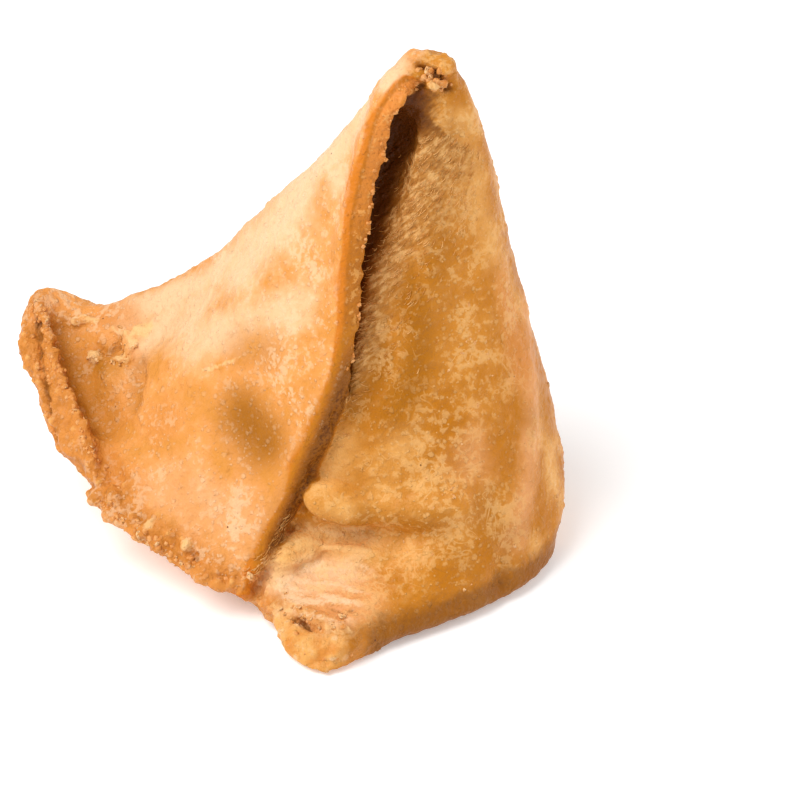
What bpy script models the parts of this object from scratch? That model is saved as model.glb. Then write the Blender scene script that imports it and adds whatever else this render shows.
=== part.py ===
"""A samosa, made the way the real one is.

A half-disc of wheat dough is rolled into a cone and lapped along one seam, filled, and pinched
shut along its mouth. That leaves a raised wing at one end of the pinched rim and a flat foot at
the other. Fried and uncut, it is one solid. The shape is a loft of rings that runs from the flat
resting patch, round the rim and up to the tip. Each ring is a spiral like the dough itself: it
starts hidden under the flap, goes round the body, and ends at the flap's free edge.
"""

import bmesh
import bpy
import numpy as np

MM = 0.001
UP = np.array([0.0, 0.0, 1.0])

# The dough, in millimetres.
FLAP_THICK = 3.3  # the flap's free edge, halfway up
LAP = 5.2  # how far the flap laps over the layer under it
GAP = 1.2  # how far the flap stands off that layer at its edge
GAPE = 2.8  # how much wider that opening gets near the tip
SLOT_TOP = (0.84, 0.96)  # the shares of the way up between which that opening closes
RIM_HIGH = 3.3  # the pinched rim, both layers together
RIM_SLIM = 0.5  # the share of that height which is missing just before the foot
SLIM_MIDDLE = (-11.0, 12.0, 7.0)
SLIM_SIZE = 9.0
EDGE_HIGH = 3.0  # the rolled lower edge elsewhere
LIP = 0.9  # how far each layer's lip stands out from the pinch line
LOBE = 1.3  # how far the lower layer runs on past the upper one at the foot's end
TOE_SIZE = 5.0  # the reach of that lobe
RIDGE_HALF = 2.2  # half the thickness of the wing's folded ridge
TIP_ROUND = 2.2  # how far the rounded tip stands above the last ring

# The two lips of the lower edge, from the underside up. A row is a share of the edge's height below
# the pinch line, how far the point stands out in lips where the rim is pinched, how far it stands
# out in millimetres elsewhere, and a shift of the lumps along the rim.
LIP_ROWS = (
    (0.98, -0.5, -2.0, 3.0),
    (0.80, 1.0, -0.7, 3.0),
    (0.50, -0.5, 0.2, 1.0),
    (0.22, 0.8, 0.3, 0.0),
)
LOWER_LAYER = 0.6  # rows that hang lower than this belong to the lower layer

# The lumps left by the fingers that pinched the rim: (spacing, depth) in millimetres, and the
# share of the way up over which they fade.
CRIMPS = ((17.0, 0.4), (9.7, 0.36), (6.1, 0.26))
CRIMP_FADE = 0.045

# The flat patch the samosa rests on: its middle, and its half sizes across and away.
PATCH_MIDDLE = (11.0, 27.5)
PATCH_HALF = (17.5, 19.0)

# Each line of the shape from the rim (share 0) to the tip (share 1).
# A row is the share of the way up, then x, y and z in millimetres.
FLAP_EDGE = (
    (0.000, -7.6, 9.2, 5.4),
    (0.165, -2.6, 12.8, 17.3),
    (0.390, 4.3, 16.4, 34.3),
    (0.780, 9.4, 27.6, 63.2),
    (0.900, 12.2, 31.0, 72.4),
    (1.000, 16.0, 33.0, 78.0),
)
UNDER_LAYER = (
    (0.000, -2.4, 2.6, 3.8),
    (0.108, -0.8, 13.4, 7.4),
    (0.140, 0.6, 16.8, 9.2),
    (0.176, 1.6, 15.4, 12.6),
    (0.240, 4.0, 16.6, 18.8),
    (0.520, 12.8, 24.0, 42.8),
    (0.780, 16.0, 30.0, 62.8),
    (0.900, 17.2, 31.8, 72.0),
    (1.000, 18.4, 32.4, 78.0),
)
FOOT = (
    (0.000, 3.6, -1.2, 3.6),
    (0.055, 4.0, 4.8, 5.8),
    (0.105, 5.2, 11.8, 7.2),
    (0.140, 7.0, 15.8, 8.8),
    (0.176, 7.8, 14.8, 12.4),
    (0.260, 9.8, 15.9, 19.8),
    (0.540, 17.0, 23.4, 43.2),
    (0.760, 18.8, 29.4, 61.6),
    (1.000, 19.8, 32.3, 78.2),
)
RIGHT_FACE = (
    (0.000, 18.4, 6.0, 3.0),
    (0.140, 20.4, 12.0, 12.0),
    (0.540, 23.4, 26.2, 42.5),
    (0.780, 23.0, 31.2, 62.0),
    (1.000, 21.2, 33.0, 78.3),
)
HEEL = (
    (0.000, 31.2, 14.6, 3.0),
    (0.070, 32.6, 17.8, 7.0),
    (0.260, 32.8, 25.2, 20.0),
    (0.640, 28.0, 32.8, 51.6),
    (0.920, 23.8, 34.2, 73.0),
    (1.000, 21.4, 34.4, 78.2),
)
RIGHT_SIDE = (
    (0.000, 37.2, 25.4, 3.0),
    (0.060, 38.8, 29.8, 6.4),
    (0.200, 37.4, 36.0, 17.0),
    (0.440, 32.2, 39.6, 35.2),
    (0.830, 25.4, 38.6, 66.0),
    (1.000, 20.9, 35.8, 78.2),
)
BACK_RIGHT = (
    (0.000, 29.4, 47.0, 3.4),
    (0.120, 30.0, 49.6, 10.6),
    (0.300, 27.6, 49.4, 25.0),
    (0.780, 20.8, 42.0, 63.0),
    (1.000, 19.6, 37.4, 78.4),
)
BACK = (
    (0.000, 6.0, 55.6, 5.0),
    (0.120, 6.0, 58.0, 12.6),
    (0.300, 7.0, 56.4, 27.0),
    (0.540, 9.4, 50.4, 45.0),
    (0.780, 14.0, 43.4, 63.0),
    (1.000, 17.6, 37.6, 78.6),
)
BACK_LEFT = (
    (0.000, -18.0, 57.0, 11.0),
    (0.120, -14.0, 57.0, 17.0),
    (0.300, -7.6, 53.6, 31.0),
    (1.000, 16.2, 37.0, 78.7),
)
WING = (
    (0.000, -42.2, 54.0, 25.6),
    (0.035, -40.6, 54.2, 27.9),
    (0.120, -33.4, 54.0, 24.8),
    (0.250, -22.9, 51.2, 30.0),
    (0.630, -1.6, 41.6, 54.2),
    (0.900, 11.4, 36.6, 72.0),
    (1.000, 14.8, 35.2, 78.8),
)
WING_FRONT = (
    (0.000, -40.4, 44.0, 20.8),
    (0.040, -37.2, 45.2, 22.8),
    (0.080, -33.2, 48.0, 22.4),
    (0.200, -23.8, 45.8, 25.8),
    (0.400, -12.6, 41.0, 37.4),
    (0.630, -1.6, 38.0, 53.4),
    (1.000, 14.4, 34.2, 78.4),
)
WING_ROOT = (
    (0.000, -35.0, 32.8, 15.6),
    (0.040, -32.2, 33.4, 17.6),
    (0.090, -28.0, 36.4, 18.2),
    (0.150, -24.2, 35.6, 21.4),
    (0.400, -10.4, 32.6, 36.0),
    (0.630, -0.4, 33.4, 52.8),
    (1.000, 14.6, 33.6, 78.2),
)
FLAP_FACE = (
    (0.000, -22.4, 18.0, 10.0),
    (0.060, -19.2, 19.8, 13.4),
    (0.400, -2.6, 23.2, 35.8),
    (0.630, 4.0, 28.2, 52.8),
    (0.900, 11.4, 32.4, 72.0),
    (1.000, 15.2, 33.3, 78.0),
)

# How many points each ring has from one line to the next.
SPANS = (3, 3, 5, 6, 5, 5, 4, 5, 6, 6, 3, 4, 8, 9, 9, 2, 2, 2, 3)
RINGS_UP = 44
TIP_RINGS = 3


def unit(v):
    return v / np.maximum(np.linalg.norm(v, axis=-1, keepdims=True), 1e-9)


def smooth(low, high, x):
    t = np.clip((x - low) / (high - low), 0.0, 1.0)
    return t * t * (3.0 - 2.0 * t)


def curve(knots, values, at):
    """A smooth curve through the values, read at the given places."""
    step = np.diff(knots)
    rise = np.diff(values, axis=0) / step[:, None]
    near, far = step[:-1, None], step[1:, None]
    slope = np.vstack([rise[:1], (rise[:-1] * far + rise[1:] * near) / (near + far), rise[-1:]])
    i = np.clip(np.searchsorted(knots, at, side="right") - 1, 0, len(step) - 1)
    t = ((at - knots[i]) / step[i])[:, None]
    run = step[i][:, None]
    keep = 1.0 - t
    return (
        keep * keep * ((1.0 + 2.0 * t) * values[i] + t * run * slope[i])
        + t * t * ((3.0 - 2.0 * t) * values[i + 1] - keep * run * slope[i + 1])
    )


def line(rows, share):
    rows = np.array(rows)
    return curve(rows[:, 0], rows[:, 1:], share)


def closed_ring(nodes):
    """A closed smooth curve through the nodes, with the set number of points in each span."""
    count = len(nodes)
    more = np.vstack([nodes[-3:], nodes, nodes[:3]])
    gaps = np.sqrt(np.linalg.norm(np.diff(more, axis=0), axis=1) + 1e-6)
    knots = np.concatenate([[0.0], np.cumsum(gaps)])
    at = [
        knots[i + 3] + (knots[i + 4] - knots[i + 3]) * np.arange(SPANS[i]) / SPANS[i]
        for i in range(count)
    ]
    return curve(knots, more, np.concatenate(at))


def rings_up(share):
    """One ring for each share of the way up, from the pinch line to the tip."""
    edge = line(FLAP_EDGE, share)
    face = line(FLAP_FACE, share)
    upward = unit(np.gradient(edge, share, axis=0))
    along = edge - face
    along = unit(along - (along * upward).sum(1, keepdims=True) * upward)
    out = unit(np.cross(along, upward))
    out *= np.sign(-out[:, 1:2])
    fade = smooth(0.0, 0.10, share) * smooth(SLOT_TOP[1], SLOT_TOP[0], share)
    thick = (1.5 + (FLAP_THICK - 1.5) * smooth(1.0, 0.80, share))[:, None]
    lap = (0.7 + (LAP - 0.7) * fade)[:, None]
    gape = smooth(0.08, 0.30, share) * GAP + smooth(0.40, 0.85, share) * GAPE
    gap = (0.35 + fade * gape)[:, None]
    ridge = line(WING, share)
    half = (RIDGE_HALF * (0.55 + 0.45 * smooth(1.0, 0.7, share)))[:, None]
    lines = (
        edge - out * (thick + 0.4 * gap) - along * lap,
        edge - out * (thick + gap) - along * 0.6 * np.minimum(lap, 1.0),
        line(UNDER_LAYER, share),
        line(FOOT, share),
        line(RIGHT_FACE, share),
        line(HEEL, share),
        line(RIGHT_SIDE, share),
        line(BACK_RIGHT, share),
        line(BACK, share),
        line(BACK_LEFT, share),
        ridge + half * np.array([0.9, 0.9, -0.5]),
        ridge,
        line(WING_FRONT, share),
        line(WING_ROOT, share),
        face,
        edge - along * 0.9,
        edge - out * 0.8,
        edge - out * (thick - 0.5),
        edge - out * thick - along * np.minimum(lap * 0.5, 0.8),
    )
    nodes = np.stack(lines, axis=1)
    return np.array([closed_ring(row) for row in nodes])


def pinched():
    """How much each point of a ring belongs to the pinched rim: 1 from the wing to the foot."""
    starts = np.concatenate([[0], np.cumsum(SPANS)])
    at = np.arange(starts[-1])
    wing, foot, right = starts[11], starts[3], starts[4]
    weight = np.zeros(len(at))
    weight[at >= wing] = 1.0
    weight[at <= foot] = 1.0
    weight = np.maximum(weight, smooth(right, foot, at) * (at < right) * (at > foot))
    return np.maximum(weight, smooth(wing - 3, wing, at) * (at > starts[10] - 1))


def outward(ring):
    """The level direction out of the ring at each point."""
    ahead = np.roll(ring, -2, axis=0) - np.roll(ring, 2, axis=0)
    side = unit(np.stack([ahead[:, 1], -ahead[:, 0], 0.0 * ahead[:, 0]], axis=1))
    for _ in range(4):
        side = unit(side + 0.5 * (np.roll(side, 1, axis=0) + np.roll(side, -1, axis=0)))
    return side


def crimp(ring, shift):
    """The lumps of the pinched rim along its length, from -1 to 1 times their depth."""
    run = np.linalg.norm(np.roll(ring, -1, axis=0) - ring, axis=1)
    place = np.concatenate([[0.0], np.cumsum(run)[:-1]]) + shift
    lumps = [
        deep * np.sin(2 * np.pi * place / wide + 1.9 * n + 0.6 * np.sin(place / 5.0))
        for n, (wide, deep) in enumerate(CRIMPS)
    ]
    return sum(lumps)


def nearness(ring, spot, size):
    """1 at the spot, falling smoothly to 0 a couple of sizes away."""
    return np.exp(-(((ring - np.array(spot)) / size) ** 2).sum(axis=1, keepdims=True))


def rings_under(rim):
    """The rings from the flat patch out to the rim, and round its two lips."""
    hold = pinched()[:, None]
    side = outward(rim)
    slim = 1.0 - RIM_SLIM * nearness(rim, SLIM_MIDDLE, SLIM_SIZE)
    high = hold * RIM_HIGH * slim + (1.0 - hold) * EDGE_HIGH
    high = np.minimum(high, rim[:, 2:] - 0.2)
    toe = nearness(rim, FOOT[0][1:], TOE_SIZE)
    lips = []
    for drop, lip, plain, shift in LIP_ROWS:
        stand = hold * (lip * LIP + 0.9 * crimp(rim, shift)[:, None]) + (1.0 - hold) * plain
        if drop > LOWER_LAYER:
            stand = stand + LOBE * toe
        lips.append(rim + side * stand - UP * high * drop)
    centre = np.array(PATCH_MIDDLE)
    spread = rim[:, :2] - centre
    turn = np.unwrap(np.arctan2(spread[:, 1], spread[:, 0]))
    turn = np.maximum.accumulate(turn)
    even = turn[0] + 2 * np.pi * np.arange(len(turn)) / len(turn)
    turn = 0.8 * turn + 0.2 * even
    patch = np.zeros_like(rim)
    patch[:, 0] = centre[0] + PATCH_HALF[0] * np.cos(turn)
    patch[:, 1] = centre[1] + PATCH_HALF[1] * np.sin(turn)
    foot = lips[0]
    under = [patch]
    for part in (0.3, 0.65):
        ring = patch + (foot - patch) * part
        ring[:, 2] = foot[:, 2] * part ** 1.25
        under.append(ring)
    return under + lips


def tip_rings(top):
    """The rounded, folded tip."""
    middle = top.mean(axis=0)
    rings = []
    for n in range(1, TIP_RINGS + 1):
        turn = 0.5 * np.pi * n / (TIP_RINGS + 0.35)
        ring = middle + (top - middle) * np.cos(turn)
        ring[:, 2] += TIP_ROUND * np.sin(turn)
        rings.append(ring)
    return rings


def samosa():
    share = np.linspace(0.0, 1.0, RINGS_UP) ** 1.4
    up = rings_up(share)
    hold = pinched()[:, None]
    side = outward(up[0])
    lumps = crimp(up[0], 0.0)[:, None]
    for n, at in enumerate(share):
        near = np.exp(-((at / CRIMP_FADE) ** 2))
        up[n] += near * hold * lumps * (0.7 * side + 0.5 * UP)
    rings = rings_under(up[0]) + list(up) + tip_rings(up[-1])
    points = np.array(rings)
    low = points.min(axis=(0, 1))
    high = points.max(axis=(0, 1))
    middle = (low + high) / 2
    return (points - np.array([middle[0], middle[1], 0.0])) * MM


def build(rings):
    mesh = bpy.data.meshes.new("samosa")
    made = bmesh.new()
    grid = [[made.verts.new(point) for point in ring] for ring in rings]
    around = len(grid[0])
    for low, high in zip(grid, grid[1:]):
        for i in range(around):
            j = (i + 1) % around
            made.faces.new((low[i], low[j], high[j], high[i]))
    for ring, turned in ((grid[0], True), (grid[-1], False)):
        middle = made.verts.new(np.mean([v.co for v in ring], axis=0))
        for i in range(around):
            pair = (ring[(i + 1) % around], ring[i]) if turned else (ring[i], ring[(i + 1) % around])
            made.faces.new((*pair, middle))
    made.normal_update()
    made.to_mesh(mesh)
    made.free()
    return mesh


for old in list(bpy.data.objects):
    bpy.data.objects.remove(old)

piece = bpy.data.objects.new("samosa", build(samosa()))
bpy.context.scene.collection.objects.link(piece)
crust = bpy.data.materials.new("fried_dough")
crust.use_nodes = True
shader = crust.node_tree.nodes["Principled BSDF"]
shader.inputs["Base Color"].default_value = (0.62, 0.28, 0.08, 1.0)
shader.inputs["Roughness"].default_value = 0.6
piece.data.materials.append(crust)
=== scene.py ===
import math
import random

import bpy
import numpy as np
from mathutils import Euler, Matrix, Vector, noise


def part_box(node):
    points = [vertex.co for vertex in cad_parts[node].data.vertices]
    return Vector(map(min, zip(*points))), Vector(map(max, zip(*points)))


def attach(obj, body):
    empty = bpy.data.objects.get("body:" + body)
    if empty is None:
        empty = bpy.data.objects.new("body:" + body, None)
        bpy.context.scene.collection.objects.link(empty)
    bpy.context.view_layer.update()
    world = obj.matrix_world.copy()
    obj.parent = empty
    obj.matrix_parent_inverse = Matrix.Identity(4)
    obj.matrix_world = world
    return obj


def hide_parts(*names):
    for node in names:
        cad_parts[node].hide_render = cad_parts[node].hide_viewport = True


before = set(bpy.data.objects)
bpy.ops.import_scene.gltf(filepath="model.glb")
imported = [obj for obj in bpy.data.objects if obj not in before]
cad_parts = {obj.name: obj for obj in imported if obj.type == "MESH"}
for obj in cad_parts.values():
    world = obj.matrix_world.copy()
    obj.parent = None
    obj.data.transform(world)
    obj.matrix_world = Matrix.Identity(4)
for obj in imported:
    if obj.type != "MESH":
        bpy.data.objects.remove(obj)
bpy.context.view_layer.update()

# ---------------------------------------------------------------- the view
# Every size and place below is in steps. A step is a fixed share of the samosa's own height, close
# to a millimetre, and places count from the middle of the footprint.
TALL = 80.45  # the samosa's height, in steps
low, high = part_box("samosa")
step = (high.z - low.z) / TALL


def place(x, y, z):
    """A place that is given in steps."""
    return Vector((x, y, z)) * step


look_at = place(16.55, -2.14, 28.0)
tilt_down = math.radians(35.0)
stand_off = 480.0 * step
camera = bpy.data.objects.new("camera", bpy.data.cameras.new("camera"))
camera.data.lens = 151.05
camera.data.sensor_width = 36.0
camera.data.clip_start = 0.01
camera.location = look_at + stand_off * Vector((0.0, -math.cos(tilt_down), math.sin(tilt_down)))
camera.rotation_euler = (math.pi / 2 - tilt_down, 0.0, 0.0)
bpy.context.scene.collection.objects.link(camera)
bpy.context.scene.camera = camera

# ---------------------------------------------------------------- the studio
# A white light table under soft white light: a bright room, a big lamp high on the left and a little
# in front, and a weak one at the right.
WHITE = (1.0, 1.0, 1.0, 1.0)
TABLE_GREY = (0.9, 0.9, 0.9, 1.0)
TABLE_GLOW = 0.24
ROOM_GLOW = 0.48
bpy.ops.object.select_all(action="DESELECT")
bpy.ops.mesh.primitive_plane_add(size=3.0, location=(0.0, 0.0, 0.0))
table = bpy.context.object
table.name = "table"
table_paint = bpy.data.materials.new("table_paint")
table_paint.use_nodes = True
table_shader = table_paint.node_tree.nodes["Principled BSDF"]
table_shader.inputs["Base Color"].default_value = TABLE_GREY
table_shader.inputs["Roughness"].default_value = 0.8
table_shader.inputs["Emission Color"].default_value = WHITE
table_shader.inputs["Emission Strength"].default_value = TABLE_GLOW
table.data.materials.append(table_paint)

room = bpy.data.worlds.new("room")
bpy.context.scene.world = room
room.use_nodes = True
background = room.node_tree.nodes["Background"]
background.inputs["Color"].default_value = WHITE
background.inputs["Strength"].default_value = ROOM_GLOW


def lamp(name, spot, power, size):
    """A square soft lamp that faces the samosa."""
    light = bpy.data.objects.new(name, bpy.data.lights.new(name, "AREA"))
    light.data.energy = power
    light.data.size = size
    light.location = spot
    light.rotation_euler = (place(0.0, 0.0, 30.0) - light.location).to_track_quat("-Z", "Y").to_euler()
    bpy.context.scene.collection.objects.link(light)


lamp("key_lamp", Vector((-0.28, -0.17, 0.53)), 3.5, 0.42)
lamp("fill_lamp", Vector((0.53, 0.06, 0.24)), 1.3, 0.4)
bpy.context.scene.view_settings.view_transform = "Standard"

# ---------------------------------------------------------------- the crust
# The whole samosa is one sheet of wheat dough round its filling, fried. It was rolled into a cone,
# lapped along a seam and pinched shut along its rim. Here the CAD's facets are softened, pressed
# along named lines as fingers and hot oil pressed the dough, given its lumps, and made one skin.
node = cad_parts["samosa"]
bpy.ops.object.select_all(action="DESELECT")
crust = bpy.data.objects.new("crust", node.data.copy())
bpy.context.scene.collection.objects.link(crust)
crust.select_set(True)
bpy.context.view_layer.objects.active = crust
bpy.ops.object.mode_set(mode="EDIT")
bpy.ops.mesh.select_all(action="SELECT")
bpy.ops.mesh.remove_doubles(threshold=1e-6)
bpy.ops.mesh.tris_convert_to_quads(face_threshold=math.pi, shape_threshold=math.pi)
bpy.ops.object.mode_set(mode="OBJECT")


def finish(piece, kind, **settings):
    """Adds a modifier with these settings and applies it."""
    made = piece.modifiers.new("finish", kind)
    for name, value in settings.items():
        setattr(made, name, value)
    bpy.ops.object.select_all(action="DESELECT")
    piece.select_set(True)
    bpy.context.view_layer.objects.active = piece
    bpy.ops.object.modifier_apply(modifier="finish")


def surface(piece):
    """The piece's points, in steps, and the way the surface faces at each."""
    mesh = piece.data
    points = np.empty(len(mesh.vertices) * 3, np.float32)
    facing = np.empty(len(mesh.vertices) * 3, np.float32)
    mesh.vertices.foreach_get("co", points)
    mesh.vertex_normals.foreach_get("vector", facing)
    return points.reshape(-1, 3).astype(float) / step, facing.reshape(-1, 3).astype(float)


def settle(piece, points):
    """Moves the piece's points to these places, in steps."""
    piece.data.vertices.foreach_set("co", (points * step).astype(np.float32).ravel())
    piece.data.update()


def unit(v):
    """The same directions, one long."""
    return v / np.maximum(np.linalg.norm(v, axis=-1, keepdims=True), 1e-9)


def ease(start, end, x):
    """0 before the start, 1 after the end, smooth between. The start may be the larger."""
    t = np.clip((x - start) / (end - start), 0.0, 1.0)
    return t * t * (3.0 - 2.0 * t)


def bell(middle, wide, x):
    """1 at the middle, then falling smoothly away on both sides."""
    return np.exp(-(((x - middle) / wide) ** 2))


def near(points, line, reach):
    """How near each point is to a spot or a line of spots: 1 on it, then falling smoothly away."""
    line = np.array(line, float).reshape(-1, 3)
    if len(line) == 1:
        line = np.repeat(line, 2, axis=0)
    inside = ((points > line.min(0) - 3.0 * reach) & (points < line.max(0) + 3.0 * reach)).all(axis=1)
    found = points[inside]
    least = np.full(len(found), np.inf)
    for start, end in zip(line, line[1:]):
        run = end - start
        share = np.clip((found - start) @ run / max(run @ run, 1e-9), 0.0, 1.0)
        least = np.minimum(least, np.linalg.norm(found - start - share[:, None] * run, axis=1))
    close = np.zeros(len(points))
    close[inside] = np.exp(-((least / reach) ** 2))
    return close


def lumps(points, wide, seed, octaves=1):
    """Smooth random lumps about that many steps wide, from -1 to 1. Each seed is a new pattern."""
    shift = Vector((7.31, 3.17, 5.23)) * seed
    return np.array(
        [noise.fractal(Vector(p) / wide + shift, 1.0, 2.1, octaves) for p in points.tolist()]
    )


def along(line, share):
    """The place at a share of a line's length."""
    line = np.array(line)
    runs = np.concatenate([[0.0], np.cumsum(np.linalg.norm(np.diff(line, axis=0), axis=1))])
    return np.array([np.interp(share * runs[-1], runs, axis) for axis in line.T])


def domes(points, wide, seed):
    """Round bumps about that many steps apart: 1 on top of each, 0 between them."""
    shift = Vector((3.71, 8.37, 2.93)) * seed
    gaps = np.array([noise.voronoi(Vector(p) / wide + shift)[0][0] for p in points.tolist()])
    return ease(0.42, 0.0, gaps)


def streaks(points, way, wide, stretch, seed, octaves=2):
    """Lumps drawn out along a way, so that they read as wrinkles or as fuzz."""
    way = unit(np.array(way, float))
    drawn = points - (points @ way)[:, None] * way * (1.0 - 1.0 / stretch)
    return lumps(drawn, wide, seed, octaves)


# The seam, where the flap laps over the layer under it, as rows of a share of the way up and a
# place: along the flap's free edge, and along the middle of the flap.
FLAP_EDGE = (
    (0.000, -5.35, -17.94, 5.4), (0.165, -0.35, -14.34, 17.3), (0.390, 6.55, -10.74, 34.3),
    (0.780, 11.65, 0.46, 63.2), (0.900, 14.45, 3.86, 72.4), (1.000, 18.25, 5.86, 78.0),
)
FLAP_MIDDLE = (
    (0.000, -20.15, -9.14, 10.0), (0.060, -16.95, -7.34, 13.4), (0.400, -0.35, -3.94, 35.8),
    (0.630, 6.25, 1.06, 52.8), (0.900, 13.65, 5.26, 72.0), (1.000, 17.45, 6.16, 78.0),
)
FLAP_THICK = 3.3
TIP_THICK = 1.5
NOTCHES = 180  # the seam is followed in this many places, evenly spread over its shares
# The lines that fingers, folds and hot oil left in the dough, as rows of places.
RIM = (
    (-39.9, 26.9, 25.6), (-38.2, 16.9, 20.8), (-32.8, 5.7, 15.6), (-20.2, -9.1, 10.0),
    (-5.4, -17.9, 5.4), (-0.2, -24.5, 3.8), (5.9, -28.3, 3.6),
)
RIM_RIDGE = (
    (-37.6, 24.5, 26.9), (-36.2, 20.9, 24.9), (-35.0, 17.9, 23.0), (-33.9, 14.9, 21.4),
    (-32.3, 11.2, 19.8), (-30.4, 7.2, 18.0), (-28.9, 2.9, 15.8), (-28.2, 0.2, 13.2),
)
RIM_CRACK = (
    (-38.4, 24.7, 26.6), (-37.5, 19.5, 23.7), (-36.4, 14.2, 19.9), (-35.2, 9.4, 17.0),
    (-34.3, 7.3, 14.4),
)
LOW_RIM = (
    (-28.6, -0.6, 10.8), (-26.6, -3.6, 10.0), (-24.1, -6.3, 9.2), (-19.5, -10.2, 9.5),
    (-15.2, -12.2, 7.2), (-11.4, -15.6, 7.2), (-8.5, -16.5, 6.0), (-5.9, -17.0, 6.2),
)
WING_HOLLOW = (
    (-34.0, 21.7, 24.1), (-32.9, 18.8, 22.4), (-31.2, 14.9, 20.6), (-29.5, 10.7, 19.0),
    (-27.5, 6.4, 17.6),
)
TORN_LOW = (
    (-29.4, 18.7, 21.4), (-27.7, 17.8, 21.3), (-25.8, 16.3, 21.6), (-24.1, 15.5, 22.7),
    (-23.4, 16.7, 23.7), (-24.1, 18.9, 24.0),
)
TORN_HIGH = ((-32.6, 23.6, 24.3), (-30.7, 24.5, 24.2), (-28.8, 23.9, 24.1))
TORN_SIDE = ((-26.5, 21.8, 23.8), (-24.9, 20.9, 24.4), (-23.5, 19.1, 24.5), (-22.6, 17.2, 24.4))
TORN_HOLE = ((-28.6, 19.4, 21.7), (-26.1, 18.4, 22.2), (-25.0, 19.1, 23.2))
WING_FOLD = ((-22.3, 13.8, 23.6), (-22.3, 10.8, 22.5), (-22.9, 8.2, 20.3))
WING_PLEAT = ((-26.9, 2.3, 15.9), (-25.9, 0.4, 15.0), (-24.9, -1.9, 13.8))
BRUISE = ((-6.4, -4.6, 27.0), (-3.4, -8.2, 25.2))
BELLY = ((6.5, -11.3, 16.6), (12.3, -12.2, 16.2), (20.8, -12.9, 16.2), (25.1, -12.0, 16.1))
VALLEY = (
    (2.6, -11.2, 13.4), (5.1, -11.9, 12.5), (8.5, -12.1, 11.9), (12.0, -12.5, 12.1),
    (15.4, -13.3, 12.5), (19.4, -14.0, 12.9), (23.0, -14.4, 12.9),
)
FOOT_STEP = ((-0.6, -13.4, 9.0), (3.6, -10.6, 9.8), (6.5, -11.4, 8.9), (9.4, -12.4, 8.6))
FOOT_LIP = ((-1.3, -19.9, 4.7), (2.3, -21.7, 5.1), (5.9, -24.4, 5.4), (8.8, -26.3, 4.8))
FOOT_CRACK = ((1.4, -22.8, 4.5), (2.9, -23.9, 4.5), (3.9, -24.8, 4.4), (5.2, -25.4, 4.3))
FOOT_LOBE = (
    (0.1, -23.2, 3.0), (1.2, -25.4, 2.6), (2.8, -26.8, 2.4), (5.3, -28.2, 2.4),
    (8.0, -28.0, 3.2), (9.6, -27.2, 3.6),
)
LUMP_CREASE = ((-13.9, -12.7, 8.5), (-11.0, -14.4, 7.6), (-8.5, -16.4, 6.6))
HEEL_CREASE = ((32.4, -11.0, 9.4), (31.7, -12.3, 7.0), (31.0, -14.6, 3.3))
SIDE_RIDGE = ((34.1, 8.7, 38.0), (35.3, 1.5, 25.5), (35.1, -4.4, 15.5), (33.1, -10.2, 9.0))
TIP_HOLES = (
    ((19.6, 5.1, 78.4), (21.0, 4.5, 78.2)), ((21.4, 4.3, 77.0),), ((22.6, 4.4, 76.4),),
    ((23.0, 5.2, 75.0),), ((19.6, 5.4, 75.2),), ((18.6, 5.6, 73.9),),
)
TIP_TEAR = ((19.2, 5.8, 77.2), (20.6, 4.9, 76.9), (21.9, 4.8, 76.4), (23.2, 5.2, 75.4))
PALE_CREASE = ((-11.5, 3.1, 29.3), (-8.9, 1.8, 31.4), (-6.3, 0.5, 33.5))
SOFT_CREASE = ((-6.3, 2.2, 35.4), (-3.3, -3.1, 33.0), (0.3, -8.2, 30.5))


def curve(rows, at):
    """A smooth curve through the rows' places, read at the given shares."""
    rows = np.array(rows)
    knots, values = rows[:, 0], rows[:, 1:]
    span = np.diff(knots)
    rise = np.diff(values, axis=0) / span[:, None]
    before, after = span[:-1, None], span[1:, None]
    slope = np.vstack([rise[:1], (rise[:-1] * after + rise[1:] * before) / (before + after), rise[-1:]])
    i = np.clip(np.searchsorted(knots, at, side="right") - 1, 0, len(span) - 1)
    t = ((at - knots[i]) / span[i])[:, None]
    run = span[i][:, None]
    return (
        (1.0 - t) ** 2 * ((1.0 + 2.0 * t) * values[i] + t * run * slope[i])
        + t * t * ((3.0 - 2.0 * t) * values[i + 1] - (1.0 - t) * run * slope[i + 1])
    )


# At each notch of the seam: its place, then the ways up along it, on past the edge, and out.
shares = np.linspace(0.0, 1.0, NOTCHES)
edge = curve(FLAP_EDGE, shares)
upward = unit(np.gradient(edge, shares, axis=0))
across = edge - curve(FLAP_MIDDLE, shares)
across = unit(across - (across * upward).sum(1, keepdims=True) * upward)
outward = unit(np.cross(across, upward))
outward *= np.sign(-outward[:, 1:2])


def by_seam(points):
    """For each point: the seam's nearest notch, then steps past the edge, in from the flap's face,
    and away from the edge's line."""
    least = np.full(len(points), np.inf)
    nearest = np.zeros(len(points), int)
    for i, spot in enumerate(edge):
        gap = ((points - spot) ** 2).sum(axis=1)
        closer = gap < least
        least[closer] = gap[closer]
        nearest[closer] = i
    offset = points - edge[nearest]
    past = (offset * across[nearest]).sum(axis=1)
    inwards = -(offset * outward[nearest]).sum(axis=1)
    return nearest, past, inwards, np.sqrt(least)


def thick_at(share):
    """How thick the flap is at a share of the way up: it thins toward the tip."""
    return TIP_THICK + (FLAP_THICK - TIP_THICK) * ease(1.0, 0.80, share)


def press(points, facing, line, reach, push, ragged=0.0):
    """Pushes the dough out, or in where push is below 0, along a line, on the side that it shows."""
    weight = near(points, line, reach)
    front = unit((facing * (weight**4)[:, None]).sum(axis=0))
    weight = weight * np.clip(2.0 * facing @ front, 0.0, 1.0)  # the far side of thin dough stays put
    touched = weight > 0.003
    if ragged:
        weight[touched] *= 1.0 + ragged * lumps(points[touched], 1.7, 11.0 * reach, 2)
    pressed = points.copy()
    pressed[touched] += facing[touched] * (push * weight[touched])[:, None]
    return pressed


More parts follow.
